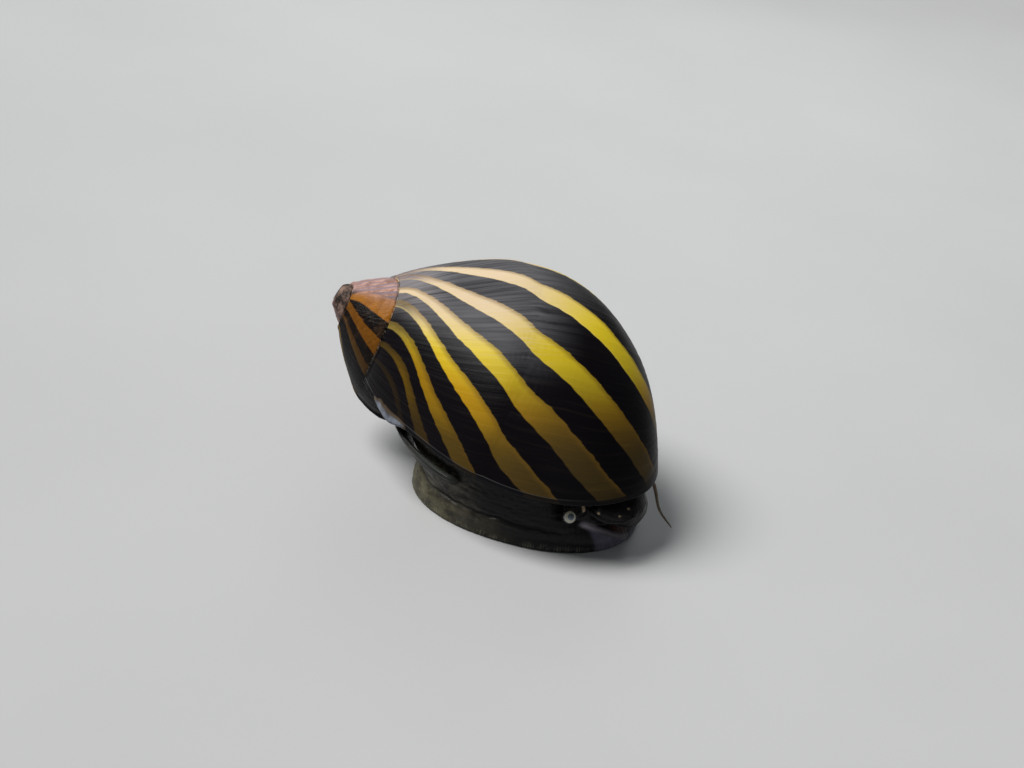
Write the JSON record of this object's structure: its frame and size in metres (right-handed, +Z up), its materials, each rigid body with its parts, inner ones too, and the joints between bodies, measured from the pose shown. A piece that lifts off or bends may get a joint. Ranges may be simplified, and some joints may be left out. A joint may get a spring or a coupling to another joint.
{
  "type": "nerite snail",
  "caption": "Crawling freshwater snail with a smooth, egg-shaped coiled shell, low broad foot, lid, blunt head, stalked eyes and thin feelers.",
  "frame": {"origin": "on the floor below the middle of the model", "axes": "+X the way the head points, +Y the animal's left, +Z up"},
  "size_m": [0.0244, 0.0182, 0.0135],
  "materials": {
    "shell": "glossy, with black and golden stripes",
    "shell_worn": "worn, pink-brown",
    "operculum": "smooth, olive-grey",
    "flesh_dark": "moist, nearly black",
    "flesh_sole": "moist, olive-grey",
    "tentacle": "moist, dusky brown",
    "eye": "glossy, pale with a dark pupil"
  },
  "bodies": {
    "root": {"shell_body_whorl": "shell", "shell_spire": "shell_worn", "operculum": "operculum", "mantle": "flesh_dark", "foot": "flesh_dark", "foot_sole": "flesh_sole", "foot_front_lobe": "flesh_sole", "head": "flesh_dark", "eyestalk_right": "flesh_dark", "eyestalk_left": "flesh_dark", "eye_right": "eye", "eye_left": "eye", "tentacle_right_root": "tentacle", "tentacle_right_middle": "tentacle", "tentacle_right_tip": "tentacle", "tentacle_left_root": "tentacle", "tentacle_left_middle": "tentacle", "tentacle_left_tip": "tentacle"}
  },
  "joints": []
}
